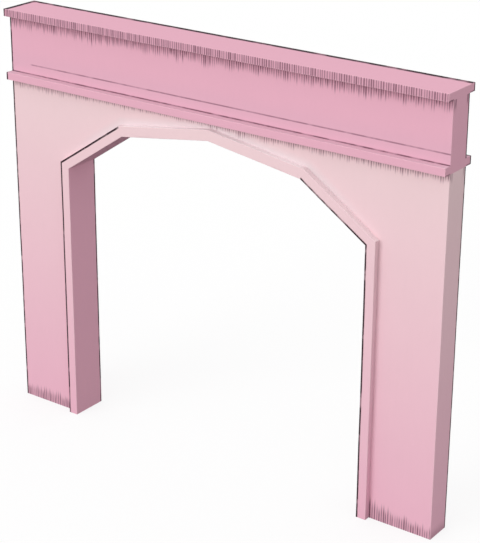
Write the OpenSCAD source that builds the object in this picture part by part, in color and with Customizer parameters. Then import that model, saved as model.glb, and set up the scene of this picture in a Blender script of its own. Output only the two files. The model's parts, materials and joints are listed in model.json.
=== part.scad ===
// Triumphal arch: a rendered masonry wall with one wide opening under a four-sided head,
// a raised surround on both faces, a string course, an attic and a flat cornice.
// Millimetres, +Z up, front towards -Y, origin on the ground at the middle of the wall.

/* [Wall] */
// Length of the arch along its front, end to end
wall_w = 8000; // [7000:50:10000]
// Thickness of the wall, front face to back face
wall_t = 440; // [300:5:800]

/* [Opening] */
// Clear width between the jambs
opening_w = 5545; // [4700:5:6000]
// Height of the straight jambs, ground to springing
spring_h = 4375; // [3000:5:5500]
// Run of each sloping haunch, measured in from its jamb
haunch_run = 1120; // [800:10:1500]
// Rise of each haunch above the springing
haunch_rise = 750; // [450:5:1000]
// Rise of the crown from the haunch corners to the apex
crown_rise = 250; // [100:5:400]
// Masonry left between the apex and the string course
crown_cover = 275; // [265:5:600]

/* [Surround] */
// Face width of the raised surround
surround_w = 168; // [100:2:200]
// How far the surround stands out from the wall
surround_out = 98; // [40:2:170]

/* [String course] */
// Height of the string course
string_h = 120; // [60:5:200]
// How far the string course stands out, front and back
string_out = 136; // [60:2:240]

/* [Attic] */
// Height of the course that starts the attic
attic_base_h = 160; // [100:5:270]
// Height of the attic wall above its first course
attic_h = 755; // [400:5:1600]

/* [Cornice] */
// Height of the cornice slabs
cornice_h = 120; // [60:5:200]
// How far the cornice stands out, front and back
cornice_out = 136; // [60:2:240]

/* [Hidden] */
// Colours of the limewash
wall_pink = [0.92, 0.75, 0.79];
trim_pink = [0.91, 0.73, 0.78];
attic_pink = [0.90, 0.68, 0.75];

// Half sizes and levels worked out from the sizes above
wall_half = wall_w / 2;
face_y = wall_t / 2;
opening_half = opening_w / 2;
haunch_x = opening_half - haunch_run;
haunch_z = spring_h + haunch_rise;
apex_z = haunch_z + crown_rise;
string_z = apex_z + crown_cover;
attic_base_z = string_z + string_h;
attic_z = attic_base_z + attic_base_h;
cornice_z = attic_z + attic_h;

// String course and cornice are laid in equal lengths, two each side of the middle
lengths_per_side = 2;
slab_w = wall_half / lengths_per_side;

// Corners of the opening on its left side, from the ground to the apex and one past it
foot_corner = [-opening_half, 0];
spring_corner = [-opening_half, spring_h];
haunch_corner = [-haunch_x, haunch_z];
apex_corner = [0, apex_z];
far_haunch_corner = [haunch_x, haunch_z];

// Outward normal of an edge that runs up the left side of the opening
function edge_normal(a, b) = let (d = (b - a) / norm(b - a)) [-d[1], d[0]];

// Outer corner of the surround where two of its lengths meet in a mitre
function mitre_corner(a, b, c) =
    let (n1 = edge_normal(a, b), n2 = edge_normal(b, c))
    b + (n1 + n2) * surround_w / (1 + n1 * n2);

foot_outer = foot_corner + edge_normal(foot_corner, spring_corner) * surround_w;
spring_outer = mitre_corner(foot_corner, spring_corner, haunch_corner);
haunch_outer = mitre_corner(spring_corner, haunch_corner, apex_corner);
apex_outer = mitre_corner(haunch_corner, apex_corner, far_haunch_corner);

// Names of the pieces, one solid each

// An upright outline in X and Z given a depth from y_front to y_back
module upright(outline, y_front, y_back) {
    translate([0, y_back, 0])
        rotate([90, 0, 0])
            linear_extrude(height = y_back - y_front)
                polygon(outline);
}

// A level length of the wall's full run, standing out on both faces
module course(x_left, x_right, z_low, height, out) {
    translate([x_left, -face_y - out, z_low])
        cube([x_right - x_left, wall_t + 2 * out, height]);
}

// Pier from the ground to the springing
module left_pier() {
    color(wall_pink)
        translate([-wall_half, -face_y, 0])
            cube([wall_half - opening_half, wall_t, spring_h]);
}

module right_pier() {
    mirror([1, 0, 0])
        left_pier();
}

// Masonry over a sloping haunch, springing to string course
module left_haunch() {
    color(wall_pink)
        upright([
            [-wall_half, spring_h],
            spring_corner,
            haunch_corner,
            [-haunch_x, string_z],
            [-wall_half, string_z]
        ], -face_y, face_y);
}

module right_haunch() {
    mirror([1, 0, 0])
        left_haunch();
}

// Masonry over one half of the crown
module left_crown() {
    color(wall_pink)
        upright([
            haunch_corner,
            apex_corner,
            [0, string_z],
            [-haunch_x, string_z]
        ], -face_y, face_y);
}

module right_crown() {
    mirror([1, 0, 0])
        left_crown();
}

// Surround: jamb, haunch and crown lengths meet in mitres and lie against the wall's face
module surround_length(outline) {
    color(trim_pink)
        upright(outline, -face_y - surround_out, -face_y);
}

module front_left_jamb() {
    surround_length([foot_outer, foot_corner, spring_corner, spring_outer]);
}

module front_left_haunch_band() {
    surround_length([spring_outer, spring_corner, haunch_corner, haunch_outer]);
}

module front_left_crown_band() {
    surround_length([haunch_outer, haunch_corner, apex_corner, apex_outer]);
}

module front_right_jamb() {
    mirror([1, 0, 0])
        front_left_jamb();
}

module front_right_haunch_band() {
    mirror([1, 0, 0])
        front_left_haunch_band();
}

module front_right_crown_band() {
    mirror([1, 0, 0])
        front_left_crown_band();
}

module back_left_jamb() {
    mirror([0, 1, 0])
        front_left_jamb();
}

module back_left_haunch_band() {
    mirror([0, 1, 0])
        front_left_haunch_band();
}

module back_left_crown_band() {
    mirror([0, 1, 0])
        front_left_crown_band();
}

module back_right_jamb() {
    mirror([0, 1, 0])
        front_right_jamb();
}

module back_right_haunch_band() {
    mirror([0, 1, 0])
        front_right_haunch_band();
}

module back_right_crown_band() {
    mirror([0, 1, 0])
        front_right_crown_band();
}

// String course in four lengths, flush with the wall's ends
module string_left_end() {
    color(attic_pink)
        course(-wall_half, -slab_w, string_z, string_h, string_out);
}

module string_left() {
    color(attic_pink)
        course(-slab_w, 0, string_z, string_h, string_out);
}

module string_right() {
    mirror([1, 0, 0])
        string_left();
}

module string_right_end() {
    mirror([1, 0, 0])
        string_left_end();
}

// Attic: a first course bedded on the string course, then the plain wall
module attic_base() {
    color(attic_pink)
        course(-wall_half, wall_half, attic_base_z, attic_base_h, 0);
}

module attic_wall() {
    color(attic_pink)
        course(-wall_half, wall_half, attic_z, attic_h, 0);
}

// Cornice in four slabs, flush with the wall's ends
module cornice_left_end() {
    color(attic_pink)
        course(-wall_half, -slab_w, cornice_z, cornice_h, cornice_out);
}

module cornice_left() {
    color(attic_pink)
        course(-slab_w, 0, cornice_z, cornice_h, cornice_out);
}

module cornice_right() {
    mirror([1, 0, 0])
        cornice_left();
}

module cornice_right_end() {
    mirror([1, 0, 0])
        cornice_left_end();
}

left_pier();
right_pier();
left_haunch();
right_haunch();
left_crown();
right_crown();
front_left_jamb();
front_left_haunch_band();
front_left_crown_band();
front_right_jamb();
front_right_haunch_band();
front_right_crown_band();
back_left_jamb();
back_left_haunch_band();
back_left_crown_band();
back_right_jamb();
back_right_haunch_band();
back_right_crown_band();
string_left_end();
string_left();
string_right();
string_right_end();
attic_base();
attic_wall();
cornice_left_end();
cornice_left();
cornice_right();
cornice_right_end();
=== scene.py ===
import json
from math import cos, radians, sin
import bmesh
import bpy
from mathutils import Matrix, Vector, noise


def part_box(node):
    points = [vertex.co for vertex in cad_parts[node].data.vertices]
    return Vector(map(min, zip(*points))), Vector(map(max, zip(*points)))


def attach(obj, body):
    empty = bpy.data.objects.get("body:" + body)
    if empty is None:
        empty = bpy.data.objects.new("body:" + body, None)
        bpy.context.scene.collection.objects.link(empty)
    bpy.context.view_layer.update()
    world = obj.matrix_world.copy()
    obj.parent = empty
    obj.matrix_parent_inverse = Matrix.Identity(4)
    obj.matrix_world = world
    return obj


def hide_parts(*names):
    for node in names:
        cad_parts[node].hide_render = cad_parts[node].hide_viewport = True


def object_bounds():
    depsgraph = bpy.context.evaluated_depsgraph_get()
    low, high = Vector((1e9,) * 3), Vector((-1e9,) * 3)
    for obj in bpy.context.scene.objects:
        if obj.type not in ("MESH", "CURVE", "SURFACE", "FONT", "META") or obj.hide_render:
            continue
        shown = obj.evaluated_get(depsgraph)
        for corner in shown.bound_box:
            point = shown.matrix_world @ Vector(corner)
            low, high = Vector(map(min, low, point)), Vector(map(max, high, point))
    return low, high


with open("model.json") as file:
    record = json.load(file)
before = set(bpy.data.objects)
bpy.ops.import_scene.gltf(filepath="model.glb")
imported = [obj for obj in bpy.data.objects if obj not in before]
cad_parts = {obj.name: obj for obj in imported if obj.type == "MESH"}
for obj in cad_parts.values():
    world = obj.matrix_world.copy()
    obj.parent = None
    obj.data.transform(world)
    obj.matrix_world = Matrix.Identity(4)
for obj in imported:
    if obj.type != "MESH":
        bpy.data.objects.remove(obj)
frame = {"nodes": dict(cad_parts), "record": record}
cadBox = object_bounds()
print("frame loaded,", len(frame["nodes"]), "solids")

# levels and half sizes that the finishes follow, read off the solids (metres)
pierLow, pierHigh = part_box("left_pier")
stringLow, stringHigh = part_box("string_left")
corniceLow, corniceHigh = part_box("cornice_left")
wallHalf = -pierLow.x
faceY = pierHigh.y
openingHalf = -pierHigh.x
springZ = pierHigh.z
ledgeY = corniceHigh.y
crownHalf = -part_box("left_crown")[0].x
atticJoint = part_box("attic_base")[1].z
hair = 0.0005  # slack where a point lies on a level
weld = 0.0001  # points this close are one


# sRGB 0-255 to the linear colour a socket wants
def pigment(red, green, blue):
    def channel(value):
        part = value / 255
        return part / 12.92 if part <= 0.04045 else ((part + 0.055) / 1.055) ** 2.4
    return (channel(red), channel(green), channel(blue), 1.0)


# node helpers: a socket among the values is linked, anything else is set on the input
def addNode(tree, kind, values=None, **settings):
    node = tree.nodes.new(kind)
    for label, value in settings.items():
        setattr(node, label, value)
    for key, value in (values or {}).items():
        if isinstance(value, bpy.types.NodeSocket):
            tree.links.new(value, node.inputs[key])
        else:
            node.inputs[key].default_value = value
    return node


def calc(tree, operation, first, second=0.0, third=0.0, clamp=False):
    values = {0: first, 1: second, 2: third}
    return addNode(tree, "ShaderNodeMath", values, operation=operation, use_clamp=clamp).outputs[0]


def times(tree, first, *others):
    for other in others:
        first = calc(tree, "MULTIPLY", first, other)
    return first


def most(tree, first, *others):
    for other in others:
        first = calc(tree, "MAXIMUM", first, other)
    return first


def ease(tree, value, low, high, toLow=0.0, toHigh=1.0, way="SMOOTHSTEP"):
    values = {"Value": value, "From Min": low, "From Max": high, "To Min": toLow, "To Max": toHigh}
    return addNode(tree, "ShaderNodeMapRange", values, interpolation_type=way).outputs["Result"]


def tint(tree, factor, colour, other, way="MIX"):
    values = {0: factor, 6: colour, 7: other}
    return addNode(tree, "ShaderNodeMix", values, data_type="RGBA", blend_type=way).outputs[2]


def grainNoise(tree, coord, scale, detail=2.0, rough=0.5):
    values = {"Vector": coord, "Scale": scale, "Detail": detail, "Roughness": rough}
    return addNode(tree, "ShaderNodeTexNoise", values).outputs[0]


def stretched(tree, coord, x, y, z):
    return addNode(tree, "ShaderNodeVectorMath", {0: coord, 1: (x, y, z)}, operation="MULTIPLY").outputs[0]


def newGroup(name, takes, gives):
    tree = bpy.data.node_groups.new(name, "ShaderNodeTree")
    for label, kind in takes:
        tree.interface.new_socket(name=label, in_out="INPUT", socket_type="NodeSocket" + kind)
    for label, kind in gives:
        tree.interface.new_socket(name=label, in_out="OUTPUT", socket_type="NodeSocket" + kind)
    return tree, tree.nodes.new("NodeGroupInput").outputs, tree.nodes.new("NodeGroupOutput").inputs


def useGroup(tree, group, values):
    return addNode(tree, "ShaderNodeGroup", values, node_tree=group).outputs


# middle, width, length and strength give the spread of a random draw and the least value
dripAndShadeShape = {
    "draws": (0.5, 71.5, 13.5),                      # where the weight, sway and length are drawn
    "middle": (0.26, 0.37), "width": (0.16, 0.27),   # place and half width of a run, in spacings
    "length": (0.4, 0.6), "strength": (0.4, 0.6),    # shares of the reach and of full dark
    "core": 0.4,                                     # share of a run before it fades
    "clusterScale": 0.09, "cluster": (0.56, 0.72),   # where runs gather
    "clusterLength": 0.25, "clusterStrength": 0.15,  # what a run gains there
    "veilFade": (0.25, 0.85),                        # shares of the reach where the veil thins out
}


# drip streaks with painted shade: a row of dark runs of random width, length and strength off a ledge, over a
# soft veil of painted shade close to it
def dripAndShadeGroup():
    shape = dripAndShadeShape
    takes = [("Along", "Float"), ("Drop", "Float"), ("Reach", "Float"), ("Per Metre", "Float"),
             ("Seed", "Float"), ("Veil", "Float")]
    tree, given, out = newGroup("dripStreaksAndShade", takes, [("Mask", "Float")])
    place = calc(tree, "MULTIPLY_ADD", given["Along"], given["Per Metre"], given["Seed"])
    cell = calc(tree, "FLOOR", place)
    within = calc(tree, "FRACT", place)

    def chance(shift):
        return addNode(tree, "ShaderNodeTexWhiteNoise", {"W": calc(tree, "ADD", cell, shift)},
                       noise_dimensions="1D").outputs["Value"]

    def spread(draw, key):
        return calc(tree, "MULTIPLY_ADD", draw, *shape[key])

    weight, sway, long = [chance(shift) for shift in shape["draws"]]
    patchValues = {"W": place, "Scale": shape["clusterScale"], "Detail": 1.0}
    patch = addNode(tree, "ShaderNodeTexNoise", patchValues, noise_dimensions="1D").outputs[0]
    cluster = ease(tree, patch, *shape["cluster"])
    width = spread(weight, "width")
    off = calc(tree, "ABSOLUTE", calc(tree, "SUBTRACT", within, spread(sway, "middle")))
    run = ease(tree, off, times(tree, width, shape["core"]), width, 1.0, 0.0)
    share = calc(tree, "ADD", spread(long, "length"), times(tree, cluster, shape["clusterLength"]))
    length = times(tree, given["Reach"], share)
    fade = ease(tree, given["Drop"], times(tree, length, shape["core"]), length, 1.0, 0.0)
    gain = times(tree, cluster, shape["clusterStrength"])
    strength = calc(tree, "ADD", spread(weight, "strength"), gain)
    runs = calc(tree, "MULTIPLY", times(tree, run, fade), strength, clamp=True)
    thinFrom, thinTo = [times(tree, given["Reach"], part) for part in shape["veilFade"]]
    veil = times(tree, ease(tree, given["Drop"], thinFrom, thinTo, 1.0, 0.0), given["Veil"])
    both = calc(tree, "ADD", veil, times(tree, runs, calc(tree, "SUBTRACT", 1.0, veil)))
    below = calc(tree, "GREATER_THAN", given["Drop"], -hair)
    tree.links.new(times(tree, both, below), out["Mask"])
    return tree


limewashShape = {
    "cloud": (0.9, 4.0, 0.55), "sand": (160.0, 3.0, 0.6), "floated": (7.0, 3.0),  # scale, detail, roughness
    "brush": (1.0, 3.0), "brushStretch": (14.0, 14.0, 3.0), "brushShare": 0.5,
    "pinScale": 34.0, "pinSize": (0.05, 0.11), "pinDark": 0.06, "pinDepth": 0.5,
    "sandHeight": 0.35, "floatedHeight": 0.9, "brushHeight": 0.3,
    "cloudSpan": (0.3, 0.7), "roughness": (0.82, 0.94),
}


# limewash over floated lime render: cloudy pigment, brush marks, sand grain and pinholes
def limewashGroup():
    shape = limewashShape
    takes = [("Colour", "Color"), ("Coord", "Vector"), ("Cloud", "Float"), ("Grain", "Float")]
    gives = [("Colour", "Color"), ("Height", "Float"), ("Roughness", "Float")]
    tree, given, out = newGroup("limewash", takes, gives)
    coord = given["Coord"]
    cloud = grainNoise(tree, coord, *shape["cloud"])
    brush = grainNoise(tree, stretched(tree, coord, *shape["brushStretch"]), *shape["brush"])
    sand = grainNoise(tree, coord, *shape["sand"])
    floated = grainNoise(tree, coord, *shape["floated"])
    pin = addNode(tree, "ShaderNodeTexVoronoi", {"Vector": coord, "Scale": shape["pinScale"]})
    hole = ease(tree, pin.outputs["Distance"], *shape["pinSize"], 1.0, 0.0)

    def shift(grain, amount):
        return times(tree, calc(tree, "SUBTRACT", grain, 0.5), amount)

    washShift = calc(tree, "ADD", shift(cloud, given["Cloud"]),
                     shift(brush, times(tree, given["Cloud"], shape["brushShare"])))
    sandLevel = calc(tree, "ADD", shift(sand, given["Grain"]), 1.0)
    level = calc(tree, "SUBTRACT", calc(tree, "ADD", washShift, sandLevel),
                 times(tree, hole, shape["pinDark"]))
    grey = addNode(tree, "ShaderNodeCombineColor", {0: level, 1: level, 2: level}).outputs[0]
    tree.links.new(tint(tree, 1.0, given["Colour"], grey, "MULTIPLY"), out["Colour"])
    height = calc(tree, "ADD", times(tree, sand, shape["sandHeight"]),
                  times(tree, floated, shape["floatedHeight"]))
    height = calc(tree, "ADD", height, times(tree, brush, shape["brushHeight"]))
    height = calc(tree, "SUBTRACT", height, times(tree, hole, shape["pinDepth"]))
    tree.links.new(height, out["Height"])
    tree.links.new(ease(tree, cloud, *shape["cloudSpan"], *shape["roughness"]), out["Roughness"])
    return tree


grimeAndShadeShape = {"core": 0.45, "patch": (5.0, 3.0), "patchSpan": (0.3, 0.62), "patchStrength": (0.45, 1.0)}


# a dark line of uneven strength along an edge or joint, from the distance to it; dirt on most, painted shade
# in the crease at the attic's foot
def grimeAndShadeGroup():
    shape = grimeAndShadeShape
    takes = [("Distance", "Float"), ("Width", "Float"), ("Coord", "Vector"), ("Strength", "Float")]
    tree, given, out = newGroup("grimeAndShadeLine", takes, [("Mask", "Float")])
    away = calc(tree, "ABSOLUTE", given["Distance"])
    line = ease(tree, away, times(tree, given["Width"], shape["core"]), given["Width"], 1.0, 0.0)
    patchy = grainNoise(tree, given["Coord"], *shape["patch"])
    patchy = ease(tree, patchy, *shape["patchSpan"], *shape["patchStrength"])
    tree.links.new(times(tree, line, patchy, given["Strength"]), out["Mask"])
    return tree


arrisShape = {"chips": (22.0, 4.0, 0.65), "edgeShare": 0.6, "chipShare": 0.7, "wornSpan": (0.78, 0.98)}


# worn arrises: the mesh carries "arris", 1 on an open edge and 0 a little way in
def arrisGroup():
    shape = arrisShape
    takes = [("Arris", "Float"), ("Coord", "Vector"), ("Amount", "Float")]
    tree, given, out = newGroup("arrisWear", takes, [("Mask", "Float")])
    chips = grainNoise(tree, given["Coord"], *shape["chips"])
    reach = calc(tree, "ADD", times(tree, given["Arris"], shape["edgeShare"]),
                 times(tree, chips, shape["chipShare"]))
    worn = ease(tree, reach, *shape["wornSpan"])
    tree.links.new(times(tree, worn, given["Amount"]), out["Mask"])
    return tree


dripsAndShade = dripAndShadeGroup()
limewash = limewashGroup()
grimeAndShade = grimeAndShadeGroup()
arrisWear = arrisGroup()
print("finish groups built")

# least turn of a face that counts, how far in the ends reach, and how far drips go round a corner
facingShape = {"turn": 0.5, "notUp": 0.3, "endSlack": 0.02, "cornerWidth": 0.085}


# what every finish starts from: position, facing and the edge marks of the mesh
def newFinish(name):
    shape = facingShape
    material = bpy.data.materials.new(name)
    material.use_nodes = True
    tree = material.node_tree
    tree.nodes.clear()
    coord = addNode(tree, "ShaderNodeTexCoord").outputs["Object"]
    place = addNode(tree, "ShaderNodeSeparateXYZ", {0: coord}).outputs
    facing = addNode(tree, "ShaderNodeNewGeometry").outputs["Normal"]
    facing = addNode(tree, "ShaderNodeSeparateXYZ", {0: facing}).outputs
    on = {"x": place[0], "z": place[2], "coord": coord}
    on["absX"] = calc(tree, "ABSOLUTE", place[0])
    on["absY"] = calc(tree, "ABSOLUTE", place[1])
    on["broad"] = calc(tree, "GREATER_THAN", calc(tree, "ABSOLUTE", facing[1]), shape["turn"])
    on["up"] = calc(tree, "GREATER_THAN", facing[2], shape["turn"])
    on["notUp"] = calc(tree, "LESS_THAN", facing[2], shape["notUp"])
    sideways = calc(tree, "GREATER_THAN", calc(tree, "ABSOLUTE", facing[0]), shape["turn"])
    outermost = calc(tree, "GREATER_THAN", on["absX"], wallHalf - shape["endSlack"])
    on["end"] = times(tree, sideways, outermost)
    nearFace = calc(tree, "GREATER_THAN", on["absY"], faceY - shape["cornerWidth"])
    behindFace = calc(tree, "LESS_THAN", on["absY"], faceY)
    on["front"] = most(tree, on["broad"], times(tree, on["end"], nearFace, behindFace))
    for mark in ("arris", "soot"):
        on[mark] = addNode(tree, "ShaderNodeAttribute", attribute_name=mark).outputs["Fac"]
    return material, tree, on


surfaceShape = {"specular": 0.2, "relief": 0.006}  # dull lime, and the height of its grain in metres


def endFinish(tree, look, coat, colour):
    values = {"Base Color": colour, "Roughness": coat["Roughness"],
              "Specular IOR Level": surfaceShape["specular"]}
    shader = addNode(tree, "ShaderNodeBsdfPrincipled", values)
    values = {"Height": coat["Height"], "Strength": look["bump"], "Distance": surfaceShape["relief"]}
    relief = addNode(tree, "ShaderNodeBump", values)
    tree.links.new(relief.outputs[0], shader.inputs["Normal"])
    out = addNode(tree, "ShaderNodeOutputMaterial")
    tree.links.new(shader.outputs[0], out.inputs["Surface"])


# the solid of one node with its flat faces whole
def solidOf(name):
    solid = bmesh.new()
    solid.from_mesh(frame["nodes"][name].data)
    bmesh.ops.remove_doubles(solid, verts=solid.verts, dist=weld)
    bmesh.ops.dissolve_limit(solid, angle_limit=radians(1), verts=solid.verts, edges=solid.edges)
    solid.normal_update()
    return solid


# the surround's outward faces as lines over the wall: share of |x|, share of z, reach
def outwardLine(name):
    leastTurn = 0.05
    solid = solidOf(name)
    outward = [face for face in solid.faces if face.normal.x < -leastTurn and face.normal.z > -leastTurn]
    face = max(outward, key=lambda face: face.calc_area())
    line = (abs(face.normal.x), face.normal.z, face.normal.dot(face.calc_center_median()))
    solid.free()
    return line


surroundLines = [outwardLine("front_left_" + part) for part in ("jamb", "haunch_band", "crown_band")]


# a finish's own limewash over a colour
def limewashed(tree, on, look, colour):
    return useGroup(tree, limewash, {"Colour": colour, "Coord": on["coord"],
                                     "Cloud": look["cloud"], "Grain": look["grain"]})


def grimeAndShadeAlong(tree, on, distance, width, strength):
    return useGroup(tree, grimeAndShade, {"Distance": distance, "Width": width,
                                  "Coord": on["coord"], "Strength": strength})["Mask"]


# drip streaks with painted shade, from a ledge above or from the ground up, and a hand's width round the
# corner where it says front
def dripAndShadeRow(tree, on, drop, reach, look, seed, where="broad"):
    turned = most(tree, calc(tree, "SUBTRACT", faceY, on["absY"]), 0.0)
    values = {"Along": calc(tree, "ADD", on["x"], turned), "Drop": drop, "Reach": reach, "Seed": seed}
    values.update({"Veil": look["veil"], "Per Metre": look["perMetre"]})
    return times(tree, useGroup(tree, dripsAndShade, values)["Mask"], on[where])


# soot on the arrises that the weather doesn't wash, and bare lime on the others' chips
def edgeMarks(tree, on, look, colour):
    fromSoot = calc(tree, "SUBTRACT", 1.0, on["soot"])
    soot = grimeAndShadeAlong(tree, on, fromSoot, look["sootWidth"], look["sootMix"])
    colour = tint(tree, soot, colour, look["soot"])
    clean = calc(tree, "SUBTRACT", on["arris"], on["soot"])
    worn = useGroup(tree, arrisWear, {"Arris": clean, "Coord": on["coord"], "Amount": look["wear"]})["Mask"]
    return tint(tree, worn, colour, look["bare"])


wallLook = {
    "pale": pigment(238, 209, 212), "deep": pigment(241, 185, 204),
    "reveal": pigment(237, 180, 199), "revealSlack": 0.01,
    "nookShade": (0.88, 1.01, 1.0, 1.0), "nookWidth": 0.16, "nookRise": 0.8,  # painted shade: greyer close to the surround's head, cancelling the pink light bounced off the surround
    "stainAndShade": pigment(140, 98, 114), "soot": pigment(60, 42, 49), "bare": pigment(240, 214, 216),
    "cloud": 0.045, "grain": 0.05, "bump": 0.3,
    "wear": 0.22, "sootMix": 1.35, "sootWidth": 0.9,
    "perMetre": 25.5, "veil": 0.18,
    "stringReach": 0.185, "stringMix": 0.74, "stringSeed": 3.0,
    "quietAt": -1.1, "quietSpan": (0.8, 2.0), "quietShare": 0.68,  # shorter drips left of the middle
    "footReach": 0.41, "footMix": 1.0, "footSeed": 11.0,
    "footOuter": 0.64, "footLeft": 0.72,  # shares of the reach at the right end and on the left pier
    "splashAndShade": 0.38, "splashHeight": 0.19,
}


# the lower wall bleaches from deep pink at the ground to pale under the string course
def wallColour(tree, on, look):
    rise = ease(tree, on["z"], 0.0, stringLow.z, way="LINEAR")
    colour = tint(tree, rise, look["deep"], look["pale"])
    inside = calc(tree, "LESS_THAN", on["absX"], openingHalf + look["revealSlack"])
    inside = times(tree, inside, on["notUp"], calc(tree, "SUBTRACT", 1.0, on["broad"]))
    return tint(tree, inside, colour, look["reveal"])


# how far a point of the wall's face lies outside the surround
def pastSurround(tree, on):
    away = []
    for acrossPart, upPart, reach in surroundLines:
        across = calc(tree, "MULTIPLY_ADD", on["absX"], acrossPart, -reach)
        away.append(calc(tree, "MULTIPLY_ADD", on["z"], upPart, across))
    return most(tree, *away)


def wallFinish():
    look = wallLook
    material, tree, on = newFinish("wallLimewash")
    # painted shade on the wall beside the surround's head, against the pink light bounced off the surround
    nookShade = ease(tree, pastSurround(tree, on), 0.0, look["nookWidth"], 1.0, 0.0)
    nookShade = times(tree, nookShade, ease(tree, on["z"], springZ, springZ + look["nookRise"]), on["broad"])
    colour = tint(tree, nookShade, wallColour(tree, on, look), look["nookShade"], "MULTIPLY")
    coat = limewashed(tree, on, look, colour)
    fromString = calc(tree, "SUBTRACT", stringLow.z, on["z"])
    offQuiet = calc(tree, "ABSOLUTE", calc(tree, "SUBTRACT", on["x"], look["quietAt"]))
    quietReach = look["stringReach"] * look["quietShare"]
    stringReach = ease(tree, offQuiet, *look["quietSpan"], quietReach, look["stringReach"])
    outerReach = look["footReach"] * look["footOuter"]
    footReach = ease(tree, on["x"], openingHalf, wallHalf, look["footReach"], outerReach)
    footReach = times(tree, footReach, ease(tree, on["x"], -openingHalf, openingHalf, look["footLeft"], 1.0))
    # drip streaks below the string course and up from the ground: dirt that also stands for the shade there
    # (painted shade)
    falling = dripAndShadeRow(tree, on, fromString, stringReach, look, look["stringSeed"], "front")
    rising = dripAndShadeRow(tree, on, on["z"], footReach, look, look["footSeed"])
    # the end faces darker towards the bottom: splash dirt and painted shade at the ground
    splashAndShade = ease(tree, on["z"], 0.0, look["splashHeight"], look["splashAndShade"], 0.0)
    stainAndShade = most(tree, times(tree, falling, look["stringMix"]), times(tree, rising, look["footMix"]),
                 times(tree, splashAndShade, on["end"]))
    colour = edgeMarks(tree, on, look, tint(tree, stainAndShade, coat["Colour"], look["stainAndShade"]))
    endFinish(tree, look, coat, colour)
    return material


# ledge and crest: painted light, paler colours for the surround's upper faces
surroundLook = dict(wallLook, bump=0.22, ledge=pigment(243, 224, 227), crest=pigment(254, 242, 244),
                    # the outer-side multiplier is a painted tint that cancels the pink light bounced onto the
                    # surround's outer sides
                    crestBlend=0.05, side=(0.955, 1.03, 1.015, 1.0), sideSlack=0.02)


# the surround takes the wall's colours, with painted light on its upper faces that cancels the shade and
# bounced pink light there
def surroundFinish():
    look = surroundLook
    material, tree, on = newFinish("surroundLimewash")
    # painted tint on the surround's outer sides, cancelling the pink light bounced onto them from the wall
    outside = calc(tree, "GREATER_THAN", on["absX"], openingHalf + look["sideSlack"])
    side = times(tree, outside, calc(tree, "SUBTRACT", 1.0, on["broad"]))
    colour = tint(tree, side, wallColour(tree, on, look), look["side"], "MULTIPLY")
    # painted highlight: the surround's upper faces lighter than the wall, palest over the crown
    pastCrown = ease(tree, on["absX"], crownHalf - look["crestBlend"], crownHalf + look["crestBlend"])
    colour = tint(tree, on["up"], colour, tint(tree, pastCrown, look["crest"], look["ledge"]))
    coat = limewashed(tree, on, look, colour)
    endFinish(tree, look, coat, edgeMarks(tree, on, look, coat["Colour"]))
    return material


atticLook = {
    "deep": pigment(229, 174, 192), "low": (0.91, 0.97, 0.965, 1.0), "lowHeight": 0.5,  # painted shade: greyer near its foot, cancelling the pink light bounced up from the string's top
    # dust on the string's top, painted paler and greyer to cancel the pink light bounced there
    "dustAndBounceTint": pigment(226, 188, 202), "shelfSlack": 0.02,
    "stainAndShade": pigment(140, 98, 114), "soot": pigment(60, 42, 49), "bare": pigment(236, 194, 204),
    "cloud": 0.04, "grain": 0.05, "bump": 0.26,
    "wear": 0.22, "sootMix": 1.35, "sootWidth": 0.9,
    "perMetre": 25.5, "veil": 0.2, "stainAndShadeMix": 1.0,
    "fasciaReach": 0.34, "fasciaSeed": 5.0, "ledgeSlack": 0.03,
    "atticReach": 0.25, "atticSeed": 19.0,
    "jointWidth": 0.015, "jointMix": 0.75, "jointFrom": -0.903, "jointFade": 0.08,
    "footWidth": 0.021, "footMix": 1.05, "lipWidth": 0.024, "lipMix": 1.0,
}


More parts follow.
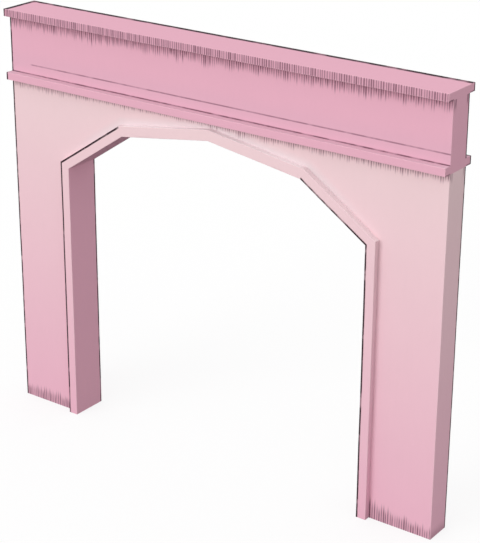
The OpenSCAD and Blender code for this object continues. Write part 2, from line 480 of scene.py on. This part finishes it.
# string course, attic and cornice: drip streaks off the cornice, partly painted shade; dirt in the bed joint;
# painted shade along the crease at the attic's foot and painted tints against bounced light; dirt under the
# overhangs at the ends
def atticFinish():
    look = atticLook
    material, tree, on = newFinish("atticLimewash")
    fromShelf = calc(tree, "SUBTRACT", on["z"], stringHigh.z)
    # painted shade: the attic's face greyer just above the string's top, against the pink light bounced from
    # it
    low = ease(tree, calc(tree, "ABSOLUTE", fromShelf), 0.0, look["lowHeight"], 1.0, 0.0)
    low = times(tree, low, calc(tree, "GREATER_THAN", fromShelf, -hair), on["broad"])
    colour = tint(tree, low, look["deep"], look["low"], "MULTIPLY")
    # the string's top takes a dust colour that is also painted paler and greyer, cancelling the pink light
    # bounced between it and the attic's foot
    onShelf = times(tree, on["up"], calc(tree, "LESS_THAN", fromShelf, look["shelfSlack"]))
    coat = limewashed(tree, on, look, tint(tree, onShelf, colour, look["dustAndBounceTint"]))

    # drip streaks on the cornice's fascia and down the attic below it: dirt that also stands for the shade
    # under the cornice (painted shade)
    onLedge = calc(tree, "GREATER_THAN", on["absY"], ledgeY - look["ledgeSlack"])
    fromTop = calc(tree, "SUBTRACT", corniceHigh.z, on["z"])
    fascia = times(tree, dripAndShadeRow(tree, on, fromTop, look["fasciaReach"], look, look["fasciaSeed"]), onLedge)
    fromCornice = calc(tree, "SUBTRACT", corniceLow.z, on["z"])
    runs = dripAndShadeRow(tree, on, fromCornice, look["atticReach"], look, look["atticSeed"], "front")
    runs = times(tree, runs, calc(tree, "SUBTRACT", 1.0, onLedge))
    stainAndShade = times(tree, most(tree, fascia, runs), look["stainAndShadeMix"])

    fromJoint = calc(tree, "SUBTRACT", on["z"], atticJoint)
    joint = grimeAndShadeAlong(tree, on, fromJoint, look["jointWidth"], look["jointMix"])
    jointStart = wallHalf * look["jointFrom"]
    openJoint = ease(tree, on["x"], jointStart, jointStart + look["jointFade"])
    joint = times(tree, joint, openJoint, on["broad"])

    # painted shade: a dark line along the crease where the attic's face meets the string's top
    fromFoot = most(tree, fromShelf, calc(tree, "SUBTRACT", on["absY"], faceY))
    footCreaseShade = grimeAndShadeAlong(tree, on, fromFoot, look["footWidth"], look["footMix"])
    footCreaseShade = times(tree, footCreaseShade, most(tree, on["broad"], on["up"]))

    fromString = calc(tree, "SUBTRACT", on["z"], stringLow.z)
    fromLip = calc(tree, "MINIMUM", calc(tree, "ABSOLUTE", fromCornice), calc(tree, "ABSOLUTE", fromString))
    lip = grimeAndShadeAlong(tree, on, fromLip, look["lipWidth"], look["lipMix"])
    lip = times(tree, lip, on["end"], calc(tree, "GREATER_THAN", on["absY"], faceY))

    stainAndShade = most(tree, stainAndShade, joint, lip, footCreaseShade)
    colour = edgeMarks(tree, on, look, tint(tree, stainAndShade, coat["Colour"], look["stainAndShade"]))
    endFinish(tree, look, coat, colour)
    return material


finishes = {
    "wall_limewash": wallFinish(),
    "surround_limewash": surroundFinish(),
    "attic_limewash": atticFinish(),
}
print("finishes built:", ", ".join(sorted(finishes)))

coatShape = {
    "arris": 0.007, "arrisSteps": 2, "profile": 0.5,   # rounding of an open edge
    "wearWidth": 0.042, "topWear": 0.12,               # how far in the marks reach, and on top faces
    "nearShare": 1.6,                                  # arris widths from an edge that carry its full mark
    "sheltered": (-0.6, 0.8, 0.0), "sootFrom": -0.36,  # arrises turned this way keep their soot
    "crestTurn": 0.5, "topTurn": 0.9,                  # how far up the cornice's crest and a top face look
    "jointDepth": 0.004,                               # raked bed joint over the attic's first course
    "cell": 0.2, "cellMargin": 0.03,                   # spacing of the floated surface's points
    "unevenness": 0.0025, "wavelength": 0.8,
    "probe": 0.003, "probeAt": (0.02, 0.5, 0.98),      # how far off an edge a neighbour counts, and where
    "flat": 0.99, "cutSnap": 0.0002, "topSlack": 0.001,
    "sharpAngle": 12,                                  # degrees
}

solids = {name: solidOf(name) for name in sorted(frame["nodes"])}
walls = {name: [(face.calc_center_median(), face.normal.copy()) for face in solid.faces]
         for name, solid in solids.items()}


# whether a point lies under the ground or in another piece
def covered(point, own):
    if point.z < 0:
        return True
    for name, planes in walls.items():
        if name != own and all((point - spot).dot(normal) < weld for spot, normal in planes):
            return True
    return False


# an edge is open where nothing stands against either of its faces
def isOpen(edge, own):
    first, second = (face.normal for face in edge.link_faces)
    if first.dot(second) > coatShape["flat"]:
        return False
    start, end = (vert.co for vert in edge.verts)
    for part in coatShape["probeAt"]:
        spot = start.lerp(end, part)
        for probe in (first - second, second - first, first + second):
            if covered(spot + probe * coatShape["probe"], own):
                return False
    return True


def uneven(point):
    wave = noise.noise_vector(point / coatShape["wavelength"])
    return wave * coatShape["unevenness"]


# distance from a point to an edge's line
def toLine(point, line):
    start, along = line
    return (point - start - along * (point - start).dot(along)).length


def cutAlong(solid, spot, normal):
    parts = solid.verts[:] + solid.edges[:] + solid.faces[:]
    bmesh.ops.bisect_plane(solid, geom=parts, dist=coatShape["cutSnap"], plane_co=spot, plane_no=normal)


def roundOff(solid, edges, offset, steps):
    bmesh.ops.bevel(solid, geom=edges, offset=offset, segments=steps, profile=coatShape["profile"],
                    affect="EDGES", clamp_overlap=True)


# the lines of the open edges with their soot, and the cuts that bound the marks beside them
def edgeLines(name, openEdges):
    shape = coatShape
    lines, cuts = [], []
    for edge in openEdges:
        start, end = (vert.co.copy() for vert in edge.verts)
        along = (end - start).normalized()
        turned = sum((face.normal for face in edge.link_faces), Vector()).normalized()
        sooty = turned.dot(Vector(shape["sheltered"])) > shape["sootFrom"]
        crest = name.startswith("cornice") and turned.z > shape["crestTurn"]
        lines.append(((start, along), sooty, crest))
        for face in edge.link_faces:
            inward = face.normal.cross(along)
            if inward.dot(face.calc_center_median() - start) < 0:
                inward.negate()
            width = shape["topWear"] if face.normal.z > shape["topTurn"] else shape["wearWidth"]
            cuts.append((start + inward * width, inward))
    return lines, cuts


# points across a piece's length and height that the floated surface moves
def floatGrid(solid, name):
    cell, margin = coatShape["cell"], coatShape["cellMargin"]
    low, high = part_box(name)
    for axis in (0, 2):
        count = int((high[axis] - low[axis]) / cell) + 4
        first = int(low[axis] / cell) - 1
        for index in range(first, first + count):
            level = index * cell
            if low[axis] + margin < level < high[axis] - margin:
                spot, normal = Vector((0, 0, 0)), Vector((0, 0, 0))
                spot[axis], normal[axis] = level, 1
                cutAlong(solid, spot, normal)


# soot at a point of the coat: full on a sheltered arris and gone a little way in,
# further over the cornice's top
def sootAt(point, lines, near):
    mark = 0.0
    for line, sooty, crest in lines:
        if sooty:
            onTop = crest and abs(point.z - line[0].z) < coatShape["topSlack"]
            reach = coatShape["topWear"] if onTop else coatShape["wearWidth"]
            mark = max(mark, 1 - (toLine(point, line) - near) / (reach - near))
    return min(mark, 1.0)


# one coat of render over one solid: rounded open edges, wear marks and a hand-floated surface
def coatPiece(name, slot):
    shape = coatShape
    solid = solids[name]
    openEdges = [edge for edge in solid.edges if isOpen(edge, name)]
    lines, cuts = edgeLines(name, openEdges)
    joint = [edge for edge in solid.edges if name.startswith("attic")
             and all(abs(vert.co.z - atticJoint) < hair for vert in edge.verts)]
    roundOff(solid, openEdges, shape["arris"], shape["arrisSteps"])
    if joint:
        roundOff(solid, [edge for edge in joint if edge.is_valid], shape["jointDepth"], 1)
    for spot, normal in cuts:
        cutAlong(solid, spot, normal)
    floatGrid(solid, name)
    near = shape["arris"] * shape["nearShare"]
    arris = [any(toLine(vert.co, line) < near for line, sooty, crest in lines) for vert in solid.verts]
    soot = [sootAt(vert.co, lines, near) for vert in solid.verts]
    for vert in solid.verts:
        moved = vert.co + uneven(vert.co)
        vert.co = [min(max(moved[axis], cadBox[0][axis]), cadBox[1][axis]) for axis in range(3)]
    mesh = bpy.data.meshes.new(name + "_coat")
    solid.to_mesh(mesh)
    solid.free()
    for label, marks in (("arris", arris), ("soot", soot)):
        layer = mesh.attributes.new(label, "FLOAT", "POINT")
        layer.data.foreach_set("value", [float(mark) for mark in marks])
    mesh.polygons.foreach_set("use_smooth", [True] * len(mesh.polygons))
    mesh.set_sharp_from_angle(angle=radians(shape["sharpAngle"]))
    mesh.materials.append(finishes[slot])
    piece = bpy.data.objects.new(name + "_coat", mesh)
    bpy.context.scene.collection.objects.link(piece)
    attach(piece, "root")
    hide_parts(name)
    return piece


slots = {part["node"]: part["material_slot"] for part in frame["record"]["subparts"]}
coats = [coatPiece(name, slots[name]) for name in sorted(solids)]
print("coats built:", len(coats), "pieces,", sum(len(piece.data.polygons) for piece in coats), "faces")

# white studio: the floor and sky are white to the eye, and light the arch at a plain level
stageLook = {"white": (1, 1, 1, 1), "sky": 0.88, "floorBounce": 0.18, "floorShade": 0.2,
             "floorSize": 90.0, "floorDrop": 0.001,
             "sunFrom": (-0.31, -0.866, 0.24), "sunStrength": 1.42, "sunSpread": 45.0}


def seenDirectly(tree):
    path = addNode(tree, "ShaderNodeLightPath").outputs
    return most(tree, path["Is Camera Ray"], path["Is Glossy Ray"], path["Is Transmission Ray"])


def blendShaders(tree, factor, first, second):
    return addNode(tree, "ShaderNodeMixShader", {0: factor, 1: first.outputs[0], 2: second.outputs[0]})


def studioFloor():
    look = stageLook
    material = bpy.data.materials.new("studioFloor")
    material.use_nodes = True
    tree = material.node_tree
    tree.nodes.clear()
    glow = addNode(tree, "ShaderNodeEmission", {"Color": look["white"], "Strength": 1.0})
    shade = addNode(tree, "ShaderNodeBsdfDiffuse", {"Color": look["white"]})
    bounce = addNode(tree, "ShaderNodeBsdfDiffuse", {"Color": (look["floorBounce"],) * 3 + (1,)})
    seen = blendShaders(tree, look["floorShade"], glow, shade)
    both = blendShaders(tree, seenDirectly(tree), bounce, seen)
    out = addNode(tree, "ShaderNodeOutputMaterial")
    tree.links.new(both.outputs[0], out.inputs["Surface"])
    half = look["floorSize"] / 2
    corners = [(-half, -half, 0), (half, -half, 0), (half, half, 0), (-half, half, 0)]
    mesh = bpy.data.meshes.new("studioFloor")
    mesh.from_pydata(corners, [], [(0, 1, 2, 3)])
    mesh.materials.append(material)
    floor = bpy.data.objects.new("studioFloor", mesh)
    floor.location.z = -look["floorDrop"]
    bpy.context.scene.collection.objects.link(floor)


def studioLight():
    look = stageLook
    world = bpy.data.worlds.new("studioSky")
    world.use_nodes = True
    tree = world.node_tree
    tree.nodes.clear()
    ambient = addNode(tree, "ShaderNodeBackground", {"Color": look["white"], "Strength": look["sky"]})
    white = addNode(tree, "ShaderNodeBackground", {"Color": look["white"], "Strength": 1.0})
    both = blendShaders(tree, seenDirectly(tree), ambient, white)
    out = addNode(tree, "ShaderNodeOutputWorld")
    tree.links.new(both.outputs[0], out.inputs["Surface"])
    bpy.context.scene.world = world
    lamp = bpy.data.lights.new("studioKey", "SUN")
    lamp.energy = look["sunStrength"]
    lamp.angle = radians(look["sunSpread"])
    key = bpy.data.objects.new("studioKey", lamp)
    key.rotation_euler = Vector(look["sunFrom"]).to_track_quat("Z", "Y").to_euler()
    bpy.context.scene.collection.objects.link(key)


studioFloor()
studioLight()
print("studio built")

# the photo's view: right of the front and above it (metres, degrees, pixels)
cameraLook = {"place": (13.9899, -18.7853, 12.8576), "azimuth": 36.722, "elevation": 21.527,
              "focal": 1647.14, "middle": (218.92, 245.61), "frame": (480, 543), "sensor": 36.0,
              "farthest": 300}


def photoCamera():
    look = cameraLook
    turn, tilt = radians(look["azimuth"]), radians(look["elevation"])
    back = Vector((sin(turn) * cos(tilt), -cos(turn) * cos(tilt), sin(tilt)))
    right = Vector((cos(turn), sin(turn), 0))
    up = back.cross(right)
    data = bpy.data.cameras.new("photoCamera")
    data.sensor_fit = "HORIZONTAL"
    data.sensor_width = look["sensor"]
    width, height = look["frame"]
    data.lens = look["focal"] / width * look["sensor"]
    data.shift_x = (width / 2 - look["middle"][0]) / width
    data.shift_y = (look["middle"][1] - height / 2) / width
    data.clip_end = look["farthest"]
    camera = bpy.data.objects.new("photoCamera", data)
    camera.matrix_world = Matrix.Translation(look["place"]) @ Matrix((right, up, back)).transposed().to_4x4()
    bpy.context.scene.collection.objects.link(camera)
    bpy.context.scene.camera = camera


photoCamera()
bpy.context.scene.view_settings.view_transform = "Standard"
